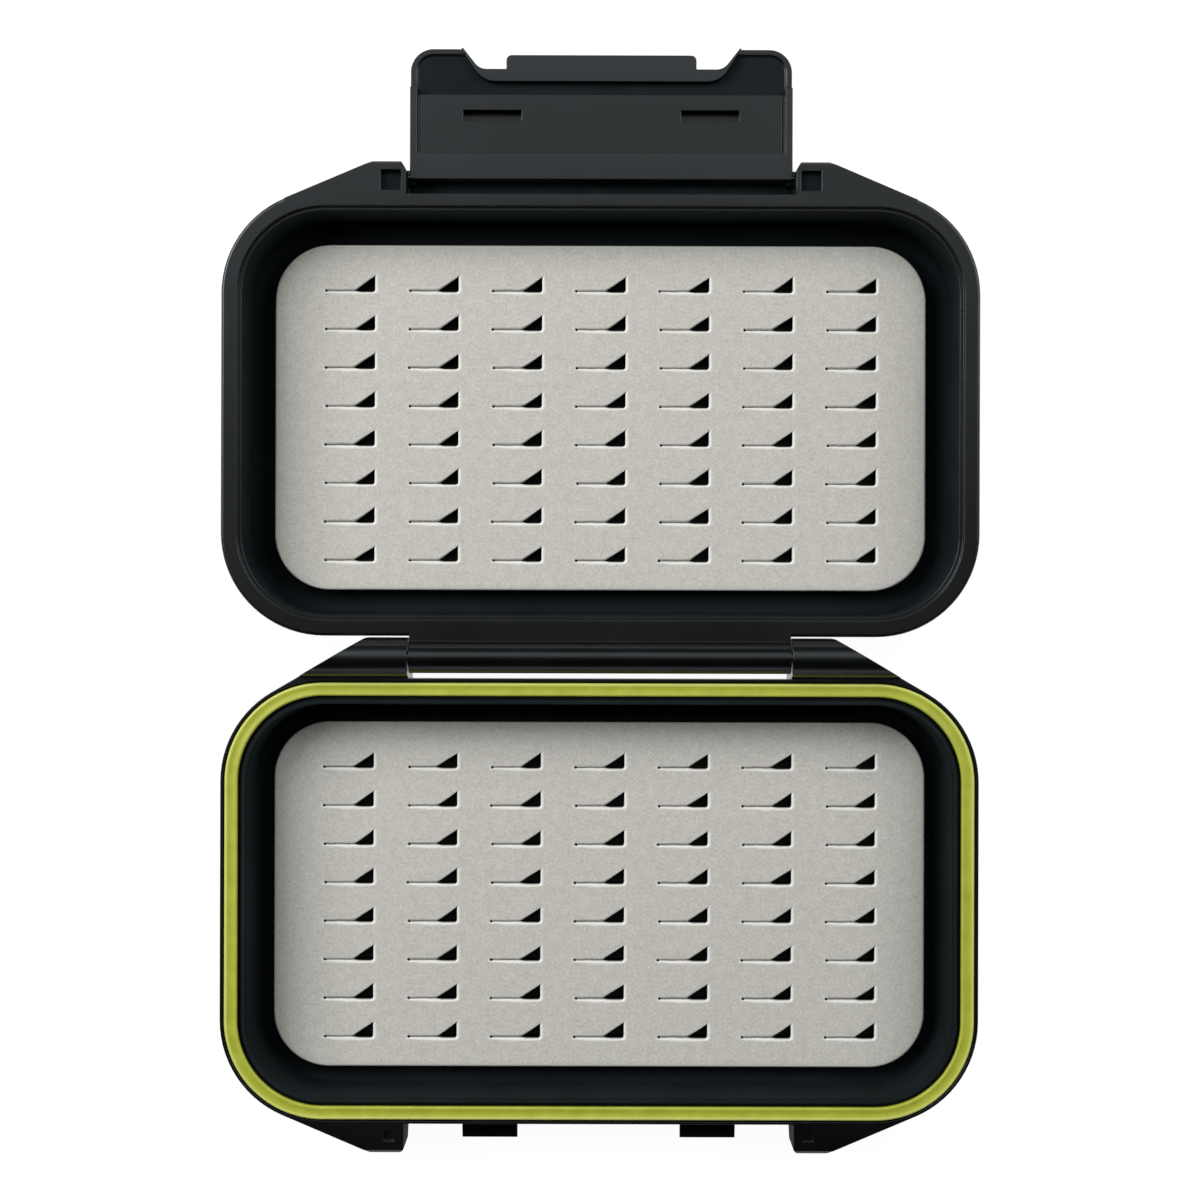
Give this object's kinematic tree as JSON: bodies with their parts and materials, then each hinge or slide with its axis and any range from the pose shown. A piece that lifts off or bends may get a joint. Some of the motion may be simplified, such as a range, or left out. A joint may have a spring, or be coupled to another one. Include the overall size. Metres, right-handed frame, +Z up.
{
  "type": "fly box",
  "caption": "Hinged pocket fly box, open flat, with a front latch plate, a rubber rim seal and slit foam pads for hooks in both halves.",
  "frame": {"origin": "middle of the base shell's flat underside", "axes": "+X across the box, +Y from the base to the opened lid, +Z up out of both trays"},
  "size_m": [0.125, 0.1829, 0.0207],
  "materials": {
    "black_abs": "fine spark-textured moulded ABS, satin black",
    "lime_rubber": "smooth moulded lime-green rubber, satin",
    "grey_foam": "skinned closed-cell foam, warm light grey, matt, fine grain",
    "adhesive_film": "black double-sided adhesive film, seen only through the slits' openings",
    "pin_steel": "drawn stainless steel"
  },
  "bodies": {
    "base": {"base_shell": "black_abs", "rim_gasket": "lime_rubber", "base_foam": "grey_foam", "base_foam_tape": "adhesive_film", "hinge_pin": "pin_steel"},
    "lid": {"lid_shell": "black_abs", "lid_foam": "grey_foam", "lid_foam_tape": "adhesive_film"},
    "latch": {"latch": "black_abs"}
  },
  "joints": [
    {"name": "lid_hinge", "type": "hinge", "parent": "base", "child": "lid", "pos_m": [0, 0.0402, 0.0175], "axis": [1, 0, 0], "range_deg": [0, 180]},
    {"name": "latch_hinge", "type": "hinge", "parent": "lid", "child": "latch", "pos_m": [0, 0.1191, 0.0125], "axis": [1, 0, 0], "range_deg": [0, 90]}
  ]
}
